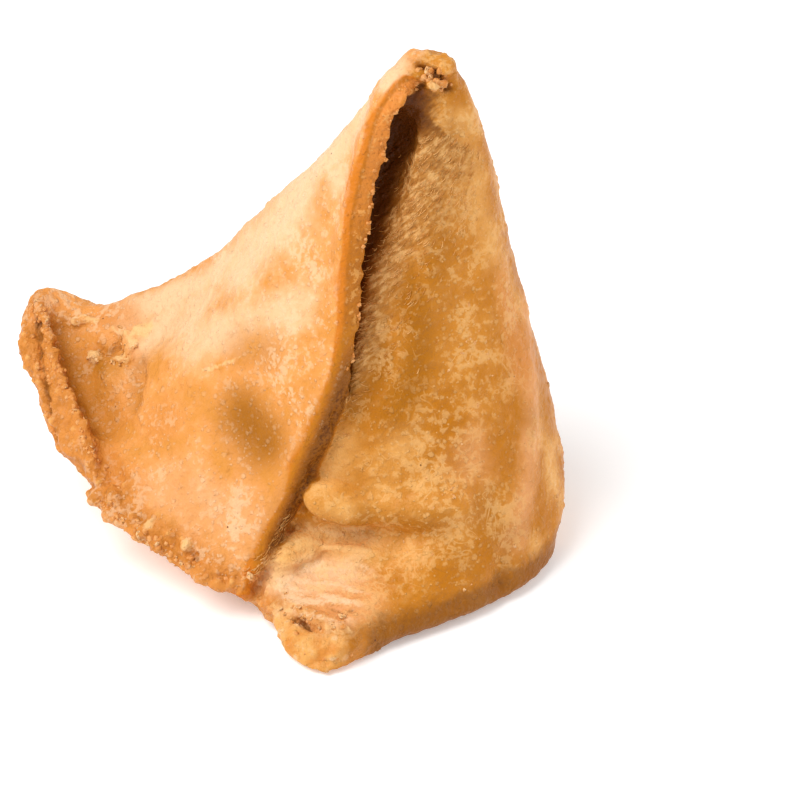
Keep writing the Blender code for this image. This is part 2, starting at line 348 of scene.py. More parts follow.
# Broad moves, made before the skin is: a line, reach and push in steps, and how ragged.
BROAD_MOVES = (
    (WING_HOLLOW, 2.8, -2.2, 0.0),
    (RIM_RIDGE, 1.5, 1.1, 0.4),
    (WING_FOLD, 1.7, -1.5, 0.3),
    (WING_PLEAT, 1.6, -1.8, 0.3),
    (((-26.8, 14.2, 20.2),), 2.8, 1.3, 0.0),
    (((-27.6, 21.2, 22.8),), 2.2, 0.9, 0.0),
    (BRUISE, 5.0, -1.3, 0.0),
    (SOFT_CREASE, 2.4, -0.6, 0.0),
    (((-12.2, -4.1, 20.6),), 7.0, 0.5, 0.0),
    (BELLY, 2.5, 1.7, 0.1),
    (VALLEY, 1.4, -1.0, 0.1),
    (FOOT_STEP, 1.0, 0.7, 0.4),
    (((-0.8, -13.8, 8.8), (3.6, -11.2, 9.4), (8.0, -12.2, 8.8), (12.5, -13.2, 8.6)), 2.4, 2.1, 0.0),
    (((-1.9, -21.0, 2.2),), 1.3, -2.2, 0.0),
    (HEEL_CREASE, 1.6, -1.3, 0.0),
    (SIDE_RIDGE, 2.4, 0.6, 0.3),
)
CUT_LEAN = 0.9  # how far the cut face's inner corner stands past its outer one
TIP_LEAN = 1.8  # how much further it stands out under the tip
LIP_OUT = 1.2  # how far the flap's edge curls out, in the upper part
ROLL = 1.7  # how far the edge rolls under, in the lower part
FLAT_TIP = 78.0  # the tip is pressed down above this height
TIP_LEFT = 0.35  # and this much is left of what stood above it
curl = LIP_OUT * ease(0.45, 0.70, shares) * ease(1.0, 0.95, shares)
finish(crust, "SUBSURF", levels=1, render_levels=1)
points, facing = surface(crust)
for line, reach, push, ragged in BROAD_MOVES:
    points = press(points, facing, line, reach, push, ragged)
notch, past, inwards, away = by_seam(points)
share = shares[notch]
thick = thick_at(share)
depth = inwards / thick  # 0 at the flap's face, 1 at its inner side
# The cut face leans out toward its inner corner, and the lip beside it curls out.
corner = bell(thick, 1.4, inwards) * ease(-3.5, -1.0, past) * ease(4.0, 2.0, past)
lean = (
    CUT_LEAN
    * (0.45 + 0.55 * ease(0.35, 0.70, share))
    * ease(0.08, 0.25, share)
    * ease(0.99, 0.93, share)
)
lean += TIP_LEAN * bell(0.94, 0.04, share)
lip = ease(-5.0, -1.5, past) * ease(1.9, 1.3, depth) * ease(9.0, 6.0, away)
points += across[notch] * (corner * lean)[:, None] + outward[notch] * (lip * curl[notch])[:, None]
# Lower down the edge has no cut face. It rolls under instead.
rolled = (
    ease(0.48, 0.34, share)
    * ease(0.05, 0.12, share)
    * ease(0.0, 0.6, depth)
    * ease(1.7, 1.1, depth)
)
rolled *= ease(-3.0, -1.2, past) * ease(2.4, 1.0, past)
points -= outward[notch] * (ROLL * rolled)[:, None]
edge = edge + outward * curl[:, None]
points[:, 2] = np.minimum(points[:, 2], FLAT_TIP) + TIP_LEFT * np.maximum(points[:, 2] - FLAT_TIP, 0.0)
points += facing * (0.34 * lumps(points, 9.0, 1) + 0.20 * lumps(points, 4.2, 2))[:, None]
settle(crust, points)

# Lumps of dough that stand on the folds: a place and half sizes, in steps.
blobs = [
    ((19.2, 6.7, 77.8), (2.7, 2.5, 1.7)),
    ((21.8, 6.3, 77.7), (2.4, 2.4, 1.6)),
    ((23.7, 6.4, 76.9), (1.0, 1.1, 1.2)),
    ((9.0, -11.2, 16.8), (6.9, 4.0, 3.1)),
    ((-0.3, -13.9, 8.5), (2.5, 1.8, 3.0)),
    ((3.0, -12.3, 9.3), (3.4, 1.9, 2.6)),
    ((-24.9, -3.9, 12.4), (1.6, 1.4, 1.1)),
    ((-27.6, -2.6, 10.9), (1.5, 1.4, 1.2)),
    ((-25.4, -5.2, 9.9), (1.6, 1.5, 1.2)),
    ((-11.6, -15.8, 6.7), (1.9, 1.3, 1.1)),
    ((-19.6, -9.2, 10.5), (1.7, 0.9, 0.6)),
    ((-14.0, -12.2, 9.3), (1.4, 0.7, 0.5)),
    ((-21.6, 18.9, 25.7), (1.5, 1.2, 0.6)),
    ((3.0, -25.4, 2.0), (3.0, 2.0, 1.9)),
    ((6.6, -26.8, 2.1), (3.0, 2.2, 2.1)),
    ((3.4, -21.4, 4.5), (2.2, 1.5, 1.1)),
    ((6.8, -23.8, 4.7), (2.2, 1.7, 1.1)),
    ((21.2, 4.3, 75.9), (1.2, 0.8, 0.5)),
    ((-9.0, -16.8, 5.9), (1.7, 1.2, 1.1)),
]
# Rows of smaller lumps: a line, how many, the least and the most half size, and how far they stray.
CHAINS = (
    (LOW_RIM, 30, 0.6, 1.1, 0.6),
    (RIM_RIDGE, 46, 0.4, 0.9, 0.5),
    (TORN_LOW, 18, 0.35, 0.75, 0.35),
    (TORN_HIGH, 7, 0.35, 0.60, 0.35),
    (TORN_SIDE, 10, 0.35, 0.75, 0.35),
    (FOOT_LIP, 8, 0.7, 1.1, 0.4),
    (FOOT_LOBE, 34, 0.5, 1.0, 0.9),
    (TIP_TEAR, 9, 0.40, 0.8, 0.5),
    (FOOT_STEP, 8, 0.5, 0.9, 0.4),
)
chance = random.Random(7)
for line, count, least, most, stray in CHAINS:
    for n in range(count):
        middle = along(line, (n + chance.uniform(0.1, 0.9)) / count)
        middle = middle + [chance.uniform(-stray, stray) for _ in range(3)]
        blobs.append((middle, [chance.uniform(least, most) for _ in range(3)]))
added = []
for middle, half in blobs:
    turn = [chance.uniform(-0.4, 0.4) for _ in range(3)]
    bpy.ops.mesh.primitive_ico_sphere_add(
        subdivisions=3, radius=step, location=place(*middle), rotation=turn, scale=half
    )
    added.append(bpy.context.object)
bpy.ops.object.select_all(action="DESELECT")
for piece in added + [crust]:
    piece.select_set(True)
bpy.context.view_layer.objects.active = crust
bpy.ops.object.join()
bpy.ops.object.transform_apply(location=True, rotation=True, scale=True)
SKIN = 0.456  # the size of the finished skin's faces
finish(crust, "REMESH", mode="VOXEL", voxel_size=SKIN * step)
finish(crust, "SMOOTH", factor=0.5, iterations=2)

# Finer moves, made on the finished skin: a line, reach, push, how ragged, and how dark the dent that
# it presses is painted, as painted shade, or how pale where that is below 0.
FINE_MOVES = (
    (RIM_CRACK, 0.6, -1.0, 0.9, 0.55),
    (TORN_HOLE, 0.8, -0.7, 0.5, 0.35),
    (((-24.9, 18.4, 22.8),), 0.6, -0.9, 0.3, 0.8),
    (TORN_LOW, 0.55, 1.0, 0.6, -1.0),
    (TORN_SIDE, 0.55, 0.9, 0.6, -1.0),
    (TORN_HIGH, 0.55, 0.7, 0.6, -0.9),
    (PALE_CREASE, 0.35, 0.35, 0.9, -0.7),
    (((-22.4, 18.9, 25.7), (-20.8, 18.5, 26.2)), 1.0, 0.5, 0.3, -1.0),
    (((-19.6, -9.2, 11.0),), 0.9, 0.3, 0.3, -0.9),
    (((-14.0, -12.4, 9.8),), 0.9, 0.3, 0.3, -0.9),
    (((21.2, 4.0, 75.9),), 0.8, 0.4, 0.3, -0.9),
    (FOOT_LIP, 1.0, 0.3, 0.8, -0.5),
    (FOOT_CRACK, 0.5, -1.6, 0.8, 0.55),
    (((6.6, -21.6, 6.2), (8.0, -22.3, 6.0)), 0.4, -0.6, 0.8, 0.4),
    (((-1.4, -21.4, 2.6),), 0.8, -0.8, 0.0, 0.6),
    (WING_PLEAT, 0.7, -0.9, 0.4, 0.6),
    (((9.7, -22.7, 5.9),), 0.45, -0.7, 0.3, 0.7),
    (LUMP_CREASE, 0.7, -0.7, 0.5, 0.4),
    *((hole, 0.8, -1.6, 0.4, 0.95) for hole in TIP_HOLES),
)
# The face behind the flap's upper half is smoothed, because nothing pressed it.
points, facing = surface(crust)
notch, past, inwards, away = by_seam(points)
share = shares[notch]
soft = ease(0.45, 0.60, share) * ease(1.2, 1.5, inwards / thick_at(share)) * ease(14.0, 11.0, away)
group = crust.vertex_groups.new(name="soft")
for n in np.flatnonzero(soft > 0.02).tolist():
    group.add([n], float(soft[n]), "REPLACE")
finish(crust, "SMOOTH", factor=0.6, iterations=25, vertex_group="soft")
WAVER = 0.45  # how far the fine lines wander to each side
points, facing = surface(crust)
waver = WAVER * np.stack([lumps(points, 1.6, seed) for seed in (61, 62, 63)], axis=1)
# dark keeps the painted shade of each dent that presses in, and light the paleness of the torn skin.
dark, light = np.zeros(len(points)), np.zeros(len(points))
for line, reach, push, ragged, shade_and_pale in FINE_MOVES:
    wavy = points + waver
    dark = np.maximum(dark, shade_and_pale * near(wavy, line, reach))
    light = np.maximum(light, -shade_and_pale * near(wavy, line, 1.2 * reach))
    points += press(wavy, facing, line, reach, push, ragged) - wavy
settle(crust, points)

# The cut edge of the flap is ragged, the rim is crumbly all along, the foot and the low part of
# the flap are wrinkled, the face behind the flap is fuzzy, and small blisters stand all over.
points, facing = surface(crust)
notch, past, inwards, away = by_seam(points)
share = shares[notch]
thick = thick_at(share)
depth = inwards / thick
corner = bell(thick, 0.9, inwards) * ease(-1.5, 0.2, past) * ease(4.5, 2.8, past)
corner *= ease(0.10, 0.25, share) * ease(1.0, 0.95, share)
teeth = 0.85 * lumps(points, 2.6, 21) + 0.55 * lumps(points, 1.1, 22)
points += across[notch] * (corner * teeth)[:, None]
rim = np.maximum(near(points, RIM[:3], 4.2), near(points, RIM[2:], 2.9))
rim = np.maximum(rim, 0.8 * near(points, RIM_RIDGE, 2.0))
rim = np.maximum(rim, near(points, ((19.5, 5.5, 78.5), (23.0, 5.5, 77.5)), 2.6))
foot = near(points, ((-1.0, -16.0, 6.5), (6.0, -21.0, 6.0), (8.0, -13.0, 8.5)), 6.0)
wrinkle = streaks(points, (1.0, -0.25, 0.0), 1.4, 3.5, 36)
low_flap = near(points, ((-6.3, -12.8, 14.6), (-14.0, -8.0, 14.0)), 6.5)
# The face behind the flap: deeper than the flap is thick, close to the seam, and facing the front.
behind = (
    ease(1.10, 1.35, depth)
    * ease(20.0, 11.0, away)
    * ease(0.05, -0.15, facing[:, 1])
    * ease(-9.0, -6.5, past)
)
upper = ease(0.40, 0.85, share)
# How far past the edge the dark gap behind the flap reaches, by the share of the way up.
GAP = ((0.05, -0.4), (0.30, -0.1), (0.42, -1.0), (0.60, -2.2), (0.80, -1.6), (0.90, 2.0), (0.98, 3.6))
beyond = past - np.interp(share, *np.transpose(GAP))
fuzz = (
    behind
    * ease(2.5 + 7.5 * upper, 1.0 + 3.0 * upper, beyond)
    * ease(0.34, 0.50, share)
    * ease(1.0, 0.95, share)
)
hair = 0.5 + 0.6 * streaks(points, (0.75, 0.0, 0.65), 0.6, 4.0, 31)
mottle = 0.5 + 0.5 * lumps(points, 5.0, 32, 4)
broad = 0.5 + 0.5 * lumps(points, 14.0, 33, 2) + 0.25 * ease(35.0, 60.0, points[:, 2])
flaking = np.clip(0.35 + 1.3 * (broad - 0.5) + 0.9 * (mottle - 0.5), 0.0, 1.0)
bubble = domes(points, 1.9, 34) * ease(0.38, 0.60, 0.5 + 0.5 * lumps(points, 6.0, 35, 2)) * (1.0 - rim)
cut_face = ease(0.30, 0.45, depth) * ease(1.30, 1.10, depth) * ease(2.4, 1.6, past) * ease(7.0, 5.0, away)
crumble = 0.30 * lumps(points, 2.2, 3) + 0.20 * lumps(points, 1.2, 4, 2) + 0.75 * domes(points, 1.9, 41)
lobe = near(points, FOOT_LOBE, 2.4)
crumble *= 1.0 + 0.7 * lobe
points += facing * (
    rim * crumble
    + 0.15 * lumps(points, 1.7, 5, 3)
    + 0.09 * domes(points, 1.3, 42)
    + 0.42 * foot * wrinkle
    + 0.18 * low_flap * streaks(points, (0.6, -0.5, -0.6), 0.9, 5.0, 37)
    + 0.16 * fuzz * (hair - 0.5)
    + 0.30 * cut_face * (0.6 * lumps(points, 1.5, 43, 2) + 0.5 * domes(points, 1.5, 44))
    + 0.24 * bubble
)[:, None]
points[:, 2] = np.maximum(points[:, 2], 0.0)
settle(crust, points)

# Where each finish, painted shade and highlight lies, as values on the skin's points that the material
# reads.
points, facing = surface(crust)


def paint(name, values):
    """Keeps a value from 0 to 1 for each of the skin's points, under this name."""
    values = np.clip(values, 0.0, 1.0).astype(np.float32)
    crust.data.attributes.new(name, "FLOAT", "POINT").data.foreach_set("value", values)


def spots(rows):
    """The strongest of the rows' spots at each point. A row is an amount, a reach and the places."""
    return np.max([amount * near(points, line, reach) for amount, reach, *line in rows], axis=0)


seam_x = np.interp(points[:, 2], edge[:, 2], edge[:, 0])  # where the seam runs at each point's height
on_edge = ease(2.8, 1.8, past) * ease(8.0, 6.0, away) * ease(1.0, 0.98, share)
lower = 1.0 - ease(0.38, 0.55, share)  # where the edge rolls under and has no cut face
ends = ease(0.14, 0.05, share)
narrowed = past - 2.2 * ease(0.84, 0.92, share)  # the browned shoulder narrows toward the tip
shoulder = ease(-2.9, -1.5, narrowed) * ease(-0.06, 0.05, depth) * ease(0.36, 0.20, depth)
paint("shoulder", shoulder * on_edge)
cut_side = ease(-2.2, -0.6, past - CUT_LEAN * 0.6 * depth) * ease(0.03, 0.10, share) * (1.0 - lower)
paint("cut", cut_side * ease(0.14, 0.30, depth) * ease(1.40, 1.15, depth) * on_edge)
rolled = (
    lower
    * ease(-0.10, 0.60, depth)
    * ease(1.5 - 0.5 * ends, 1.1 - 0.6 * ends, depth)
    * ease(-2.6, -1.4, past)
)
paint("rolled", rolled * ease(0.03, 0.08, share) * ease(1.7 - ends, 0.7 - 0.9 * ends, past))
paint("groove", bell(0.22, 0.09, depth) * ease(-1.5, -0.5, past) * (1.0 - lower) * on_edge)
paint("upper", ease(0.60, 0.90, share))
paint("grit", 0.5 + 0.8 * (crumble - 0.12))
paint("lobe", lobe * ease(11.0, 6.0, points[:, 0]))
# The deep gap behind the flap: its brown crust with painted shade, darkest by the flap's edge.
gap_brown_and_shade = behind * ease(0.6 + 2.4 * upper, -0.6 - 1.4 * upper, beyond)
paint("gap_brown_and_shade", gap_brown_and_shade * ease(0.13, 0.23, share) * ease(1.0, 0.985, share))
paint("fuzz", fuzz)
paint("hair", hair)
paint("mottle", mottle)
paint("broad", broad)
paint("bubble", bubble)
paint("flap", ease(3.5, 0.5, points[:, 0] - seam_x) * ease(1.0, -0.5, past) * (1.0 - behind))
inner = 1.0 - 0.8 * near(points, WING_HOLLOW, 2.3)
paint("rim", rim * inner * (1.0 - 0.7 * ease(-4.0, 1.0, points[:, 0])))
# Painted highlight where the key lamp lights the flap most: its upper-left ridge and outline, its upper
# face and the tip's left side; and painted light on the foot's top.
paint("pale", spots((
    (1.0, 3.4, (11.5, 7.0, 69.5), (8.9, 7.4, 65.4), (2.4, 10.0, 56.0), (-5.0, 13.8, 45.5)),
    (1.0, 3.4, (-5.0, 13.8, 45.5), (-12.7, 16.9, 35.5), (-20.6, 21.7, 28.9), (-24.0, 22.5, 26.8)),
    (0.5, 4.0, (-12.0, -9.0, 16.0)),
    (1.0, 2.2, (16.5, 6.1, 78.0), (14.6, 5.5, 75.9)),
    (1.0, 3.4, (8.0, 4.8, 60.5)),
    (1.0, 9.0, (-6.5, 12.4, 42.4), (2.4, 9.7, 55.9)),
    (0.9, 7.0, (-12.6, 14.3, 34.3), (-18.9, 16.9, 27.3)),
    (0.8, 6.0, (2.5, -1.5, 44.0), (-12.5, 9.0, 31.0)),
    (0.8, 5.0, (1.0, -17.0, 6.5), (8.0, -15.0, 8.0)),
)))
paint("torn", light)
paint("foot", foot)
# Golden dough on the nose, the belly, the blister and the wing's rim, and painted light on the foot's top
# and along the right edge, which the lamps leave in shade.
paint("golden", spots((
    (0.8, 2.6, (4.0, -13.5, 17.2), (8.5, -14.5, 17.6)),
    (0.9, 3.2, (5.5, -11.9, 21.0), (6.5, -11.5, 22.0), (8.2, -10.3, 26.0)),
    (0.7, 3.5, (16.7, -10.5, 25.5)),
    (1.0, 2.8, (0.2, -15.5, 10.2), (3.4, -14.2, 11.2), (8.0, -13.5, 10.5), (12.5, -13.5, 10.0)),
    (0.7, 2.6, (37.0, -8.0, 6.0)),
    (0.9, 2.0, (-37.5, 18.0, 21.0), (-36.5, 12.0, 18.0)),
    (0.6, 2.0, (-16.0, -12.5, 8.5)),
    (0.8, 3.0, (-26.8, 14.2, 20.2)),
    (0.6, 3.0, (12.0, -14.2, 11.2), (17.0, -14.8, 11.0)),
    (0.8, 3.2, (25.5, 4.0, 70.0), (27.5, 3.5, 62.0), (31.0, 3.0, 50.0), (35.0, 5.0, 40.0)),
    (0.6, 3.0, (39.0, 4.0, 26.0), (39.5, 0.0, 12.0)),
    (0.4, 7.0, (12.0, -13.0, 20.0), (22.0, -14.0, 16.0)),
)))
# Browned dough on the bruise, the sides and the back, and painted shade: in the wing's pocket, its
# creases and torn hole, under the nose and the belly, in the valley, beside the gap behind the flap and
# along the bottom edge.
paint("browning_and_shade", spots((
    (1.0, 5.4, *BRUISE),
    (1.0, 3.4, *WING_HOLLOW),
    (0.9, 1.8, *WING_FOLD),
    (0.9, 1.3, *WING_PLEAT),
    (0.6, 1.6, *TORN_HOLE),
    (0.7, 4.0, (-9.5, -4.5, 27.5)),
    (0.5, 4.4, (-6.5, 1.0, 34.5), (-1.5, -1.0, 36.0)),
    (0.9, 3.0, (-28.5, 0.5, 13.2), (-26.5, -2.5, 12.0)),
    (0.7, 4.0, (-28.5, 16.5, 21.5)),
    (0.7, 2.6, (12.0, -14.9, 16.0), (17.5, -15.2, 15.8), (22.5, -15.2, 16.3)),
    (0.6, 3.0, (-25.5, 15.5, 22.0)),
    (0.5, 3.0, (35.5, -1.0, 24.0)),
    (0.5, 3.0, (34.0, -8.0, 10.0)),
    (0.5, 3.0, (24.0, -15.5, 11.0), (27.5, -15.5, 7.0)),
    (0.8, 2.2, (9.5, -27.6, 4.6), (11.5, -26.0, 4.6)),
    (0.7, 4.0, (22.0, -0.5, 52.5), (21.5, -1.5, 49.0)),
    (0.8, 3.6, (15.5, -8.0, 30.0), (16.5, -7.9, 33.0)),
    (0.9, 3.0, (10.5, -7.2, 31.0), (12.8, -6.8, 34.0), (14.0, -5.0, 38.0)),
    (0.7, 3.0, (23.9, 3.5, 68.0)),
    (0.4, 4.0, (22.4, 1.0, 57.0)),
    (0.4, 2.2, (-3.5, -15.5, 12.0), (-0.4, -13.5, 19.5), (3.0, -11.5, 27.0), (5.0, -10.0, 33.0)),
    (
        0.9, 3.6, (17.4, -1.5, 48.3), (18.4, -3.0, 44.5), (19.4, -4.2, 41.4), (18.8, -5.8, 35.6),
        (17.4, -7.3, 32.4),
    ),
    (0.8, 3.2, (13.5, -24.5, 2.6), (24.0, -20.0, 2.6), (31.0, -15.5, 3.6)),
    (0.6, 5.0, (28.5, -10.5, 15.0), (31.0, -12.0, 8.0)),
    (0.9, 2.1, (5.0, -14.6, 14.8), (9.0, -15.2, 14.2), (15.0, -15.4, 14.2), (21.0, -15.4, 15.0)),
    (0.5, 4.0, (22.2, -2.2, 45.1)),
    (0.6, 3.0, (13.7, -7.5, 31.7)),
    (0.3, 1.4, *VALLEY),
    (0.7, 2.6, (21.5, -20.0, 4.1)),
    (0.5, 3.0, (15.0, 20.0, 40.0)),
    (0.5, 5.0, (-2.0, 28.0, 30.0)),
    (0.5, 5.0, (30.0, 18.0, 24.0)),
)))
paint("rosy", spots((
    (0.8, 7.0, (-6.3, -12.8, 14.6), (-16.6, -6.0, 14.8)),
    (0.9, 7.0, (2.2, -16.1, 6.3), (8.3, -22.0, 5.6)),
    (0.8, 3.0, *SIDE_RIDGE),
    (0.6, 6.0, (27.0, -7.8, 22.0)),
    (0.6, 5.0, (-20.0, 16.0, 24.0)),
    (0.9, 3.0, (-27.0, 24.0, 25.2), (-23.0, 22.5, 26.0)),
    (0.5, 6.0, (22.0, 30.0, 26.0)),
)))
paint("ruddy", spots((
    (0.9, 3.2, (32.4, 3.0, 46.0), (34.6, 2.0, 31.0)),
    (1.0, 4.0, (-28.0, 3.0, 15.0), (-24.0, -4.0, 12.5)),
    (0.9, 5.0, (-31.0, 18.0, 22.0), (-26.5, 6.0, 18.0)),
    (0.7, 5.0, (-18.0, 2.0, 21.0)),
    (0.7, 3.0, (-27.0, 24.0, 25.2), (-23.0, 22.5, 26.0)),
)))
flaking = np.maximum(flaking, spots((
    (1.0, 3.4, (-1.6, -4.4, 34.0), (3.9, -10.8, 30.6)),
    (1.0, 4.0, (1.0, 6.8, 51.9), (5.2, 1.0, 48.0)),
    (0.8, 5.0, (6.8, -6.4, 42.9)),
    (0.9, 10.0, (20.0, -8.0, 30.0), (22.0, -13.0, 14.0)),
    (0.9, 8.0, (4.0, -17.0, 7.0), (12.0, -16.0, 8.0)),
)))
plain = spots((
    (1.0, 5.0, *BRUISE),
    (0.9, 8.0, (-30.0, 14.0, 21.0), (-26.0, 3.0, 16.0)),
    (0.8, 3.4, (18.0, -1.5, 47.0), (20.4, -4.2, 41.4), (18.6, -6.5, 34.0), (16.0, -8.0, 31.0)),
))
paint("flaky", flaking * (1.0 - plain))
paint("crack_shade", dark)
paint("bruise", spots(((1.0, 3.6, *BRUISE),)))
# Painted shade along the bottom edge, where the crust curves under toward the table.
base_shade = ease(7.5, 3.0, points[:, 2]) * ease(9.5, 14.0, points[:, 0]) * ease(0.3, -0.3, facing[:, 1])
paint("base_shade", base_shade)
paint("wrinkle", 0.5 + 0.7 * wrinkle)
bpy.ops.object.shade_smooth()


class Wire:
    """A socket of a material. Sums written on it add Math nodes, and node() adds any other node."""

    def __init__(self, tree, socket):
        self.tree = tree
        self.socket = socket

    def node(self, kind, settings=None, inputs=None, out=0):
        """Adds a node: its settings first, then the value or the link of each socket."""
        made = self.tree.nodes.new(kind)
        for name, value in (settings or {}).items():
            setattr(made, name, value)
        for name, value in (inputs or {}).items():
            if isinstance(value, Wire):
                self.tree.links.new(value.socket, made.inputs[name])
            else:
                made.inputs[name].default_value = value
        return Wire(self.tree, made.outputs[out])

    def sum(self, operation, first, second):
        """Adds one Math node of two numbers or sockets."""
        return self.node("ShaderNodeMath", {"operation": operation}, {0: first, 1: second})

    def __add__(self, other):
        return self.sum("ADD", self, other)

    def __sub__(self, other):
        return self.sum("SUBTRACT", self, other)

    def __rsub__(self, other):
        return self.sum("SUBTRACT", other, self)

    def __mul__(self, other):
        return self.sum("MULTIPLY", self, other)

    __radd__ = __add__
    __rmul__ = __mul__

    def most(self, other):
        """The larger of the two."""
        return self.sum("MAXIMUM", self, other)

    def apart(self):
        """How far it is from 0, whichever way."""
        return self.node("ShaderNodeMath", {"operation": "ABSOLUTE"}, {0: self})

    def rise(self, start, end):
        """0 before the start, 1 after the end, smooth between."""
        settings = {"interpolation_type": "SMOOTHSTEP"}
        if start > end:
            return 1.0 - self.rise(end, start)
        return self.node("ShaderNodeMapRange", settings, {0: self, 1: start, 2: end})

    def cloud(self, wide, detail=2.0, rough=0.5, bend=0.0):
        """Soft random patches about that many steps wide, from 0 to 1, where self is a place."""
        inputs = {"Scale": 1.0 / (wide * step), "Detail": detail, "Roughness": rough, "Distortion": bend}
        return self.node("ShaderNodeTexNoise", None, {"Vector": self, **inputs})

    def cells(self, wide, out="Distance"):
        """Random cells about that many steps wide, where self is a place."""
        inputs = {"Vector": self, "Scale": 1.0 / (wide * step)}
        return self.node("ShaderNodeTexVoronoi", {"feature": "F1"}, inputs, out)

    def drawn(self, lean, stretch):
        """The place, for a pattern that is drawn out along a line that climbs by lean degrees."""
        turn = (0.0, -math.radians(lean), 0.0)
        inputs = {"Vector": self, "Rotation": turn, "Scale": (stretch, 1.0, 1.0)}
        return self.node("ShaderNodeMapping", {"vector_type": "TEXTURE"}, inputs)

    def colour(self, red, green, blue):
        """A plain colour as a socket, so that it can be laid over others."""
        made = self.tree.nodes.new("ShaderNodeRGB")
        made.outputs[0].default_value = (red, green, blue, 1.0)
        return Wire(self.tree, made.outputs[0])

    def over(self, under, amount):
        """This colour laid over another one by an amount."""
        settings = {"data_type": "RGBA", "clamp_factor": True}
        factor, first, second, result = 0, 6, 7, 2  # by number: its colours share their names
        inputs = {factor: amount, first: under, second: self}
        return self.node("ShaderNodeMix", settings, inputs, result)


def start_paint(name):
    """A new material, its tree, its shader and the place of each point on the object."""
    made = bpy.data.materials.new(name)
    made.use_nodes = True
    tree = made.node_tree
    coords = tree.nodes.new("ShaderNodeTexCoord")
    return made, tree, tree.nodes["Principled BSDF"], Wire(tree, coords.outputs["Object"])


dough, tree, shader, spot = start_paint("fried_dough")


def mask(name):
    """The value that the skin's points keep under this name."""
    return spot.node("ShaderNodeAttribute", {"attribute_name": name}, None, "Fac")


def patchy(name, pattern, amount, start, end):
    """A mask broken up by a pattern: 0 before the start, 1 after the end."""
    return (mask(name) + amount * (pattern - 0.5)).rise(start, end)


# The patterns: flecks and grains, the pale specks, dots and patches that the oil raised, fine wisps
# behind the flap, and veins on the open faces.
mottling, flaky, on_flap, fuzzy = mask("mottle"), mask("flaky"), mask("flap"), mask("fuzz")
fleck = spot.cloud(1.1, 2.5, 0.5)
grain = spot.cloud(0.5, 2.0, 0.6)
specks = (0.5 * fleck - spot.cells(0.95) - 0.02).rise(0.0, 0.12)
dot_size = 0.9 * spot.cells(1.05, "Color") + 0.5 * (grain - 0.5) - 0.26
dots = (dot_size - spot.cells(1.05)).rise(0.0, 0.26)
patches = (0.7 * fleck + 0.3 * grain + 0.22 * (mottling - 0.5) + 0.10 * flaky).rise(0.56, 0.68)
wisp = spot.drawn(41.0, 3.0).cloud(0.5, 2.0, 0.6)
veins = (spot.cloud(4.6, 2.0, 0.55, 0.6) - 0.5).apart().rise(0.016, 0.004) * (1.0 - on_flap)

amber = spot.colour(0.50, 0.170, 0.008)
olive = spot.colour(0.40, 0.135, 0.004)
honey = spot.colour(0.64, 0.250, 0.032)
butter = spot.colour(0.80, 0.330, 0.088)
straw = spot.colour(0.84, 0.490, 0.185)
cream = spot.colour(0.86, 0.570, 0.330)
gold = spot.colour(0.86, 0.440, 0.130)
shell = spot.colour(0.86, 0.510, 0.210)
biscuit = spot.colour(0.70, 0.235, 0.042)
rosy = spot.colour(0.78, 0.350, 0.130)
orange = spot.colour(0.66, 0.240, 0.045)
fold = spot.colour(0.62, 0.180, 0.010)
tan = spot.colour(0.44, 0.140, 0.010)
dusty = spot.colour(0.44, 0.190, 0.045)
bark = spot.colour(0.26, 0.085, 0.008)
umber = spot.colour(0.075, 0.015, 0.001)

# The colours, each laid over those before it: the mottled dough and the flap first.
tone = mottling + 0.5 * (fleck - 0.5)
look = honey.over(amber, (0.6 * tone + 0.4 * mask("broad")).rise(0.30, 0.80))
look = butter.over(look, on_flap * (0.75 + 0.25 * tone.rise(0.30, 0.70)))
look = honey.over(look, 0.6 * on_flap * tone.rise(0.50, 0.15))
look = rosy.over(look, 0.8 * patchy("rosy", tone, 0.5, 0.10, 0.90))
crest = mask("wrinkle") + 0.6 * (grain - 0.5)
look = cream.over(look, 0.85 * mask("foot").rise(0.2, 0.8) * crest.rise(0.45, 0.80))
# Painted highlight on the lit flap, and painted light on the foot's top.
look = cream.over(look, 0.8 * patchy("pale", tone, 0.5, 0.20, 1.00))
# Golden dough, and painted light on the foot's top and the right edge.
look = gold.over(look, 0.9 * patchy("golden", tone, 0.3, 0.0, 1.1))
look = orange.over(look, 0.8 * patchy("ruddy", tone, 0.5, 0.10, 0.80))
# Olive browning, and painted shade in the pocket, creases, undersides and along the bottom.
look = olive.over(look, patchy("browning_and_shade", tone, 0.40, 0.05, 1.05))
# The crumbly rim and the foot's lobe, with painted shade between the crumbs and painted light on them.
look = orange.over(look, 0.9 * patchy("rim", fleck, 0.5, 0.15, 0.70))
look = tan.over(look, 0.7 * mask("rim") * patchy("grit", grain, 0.3, 0.52, 0.25))
look = gold.over(look, 0.7 * mask("rim") * patchy("grit", grain, 0.4, 0.58, 0.90))
look = gold.over(look, 0.7 * mask("lobe").rise(0.1, 0.6))
look = fold.over(look, 0.7 * mask("lobe") * patchy("grit", grain, 0.3, 0.50, 0.22))
look = cream.over(look, 0.8 * mask("lobe") * patchy("grit", grain, 0.4, 0.50, 0.80))
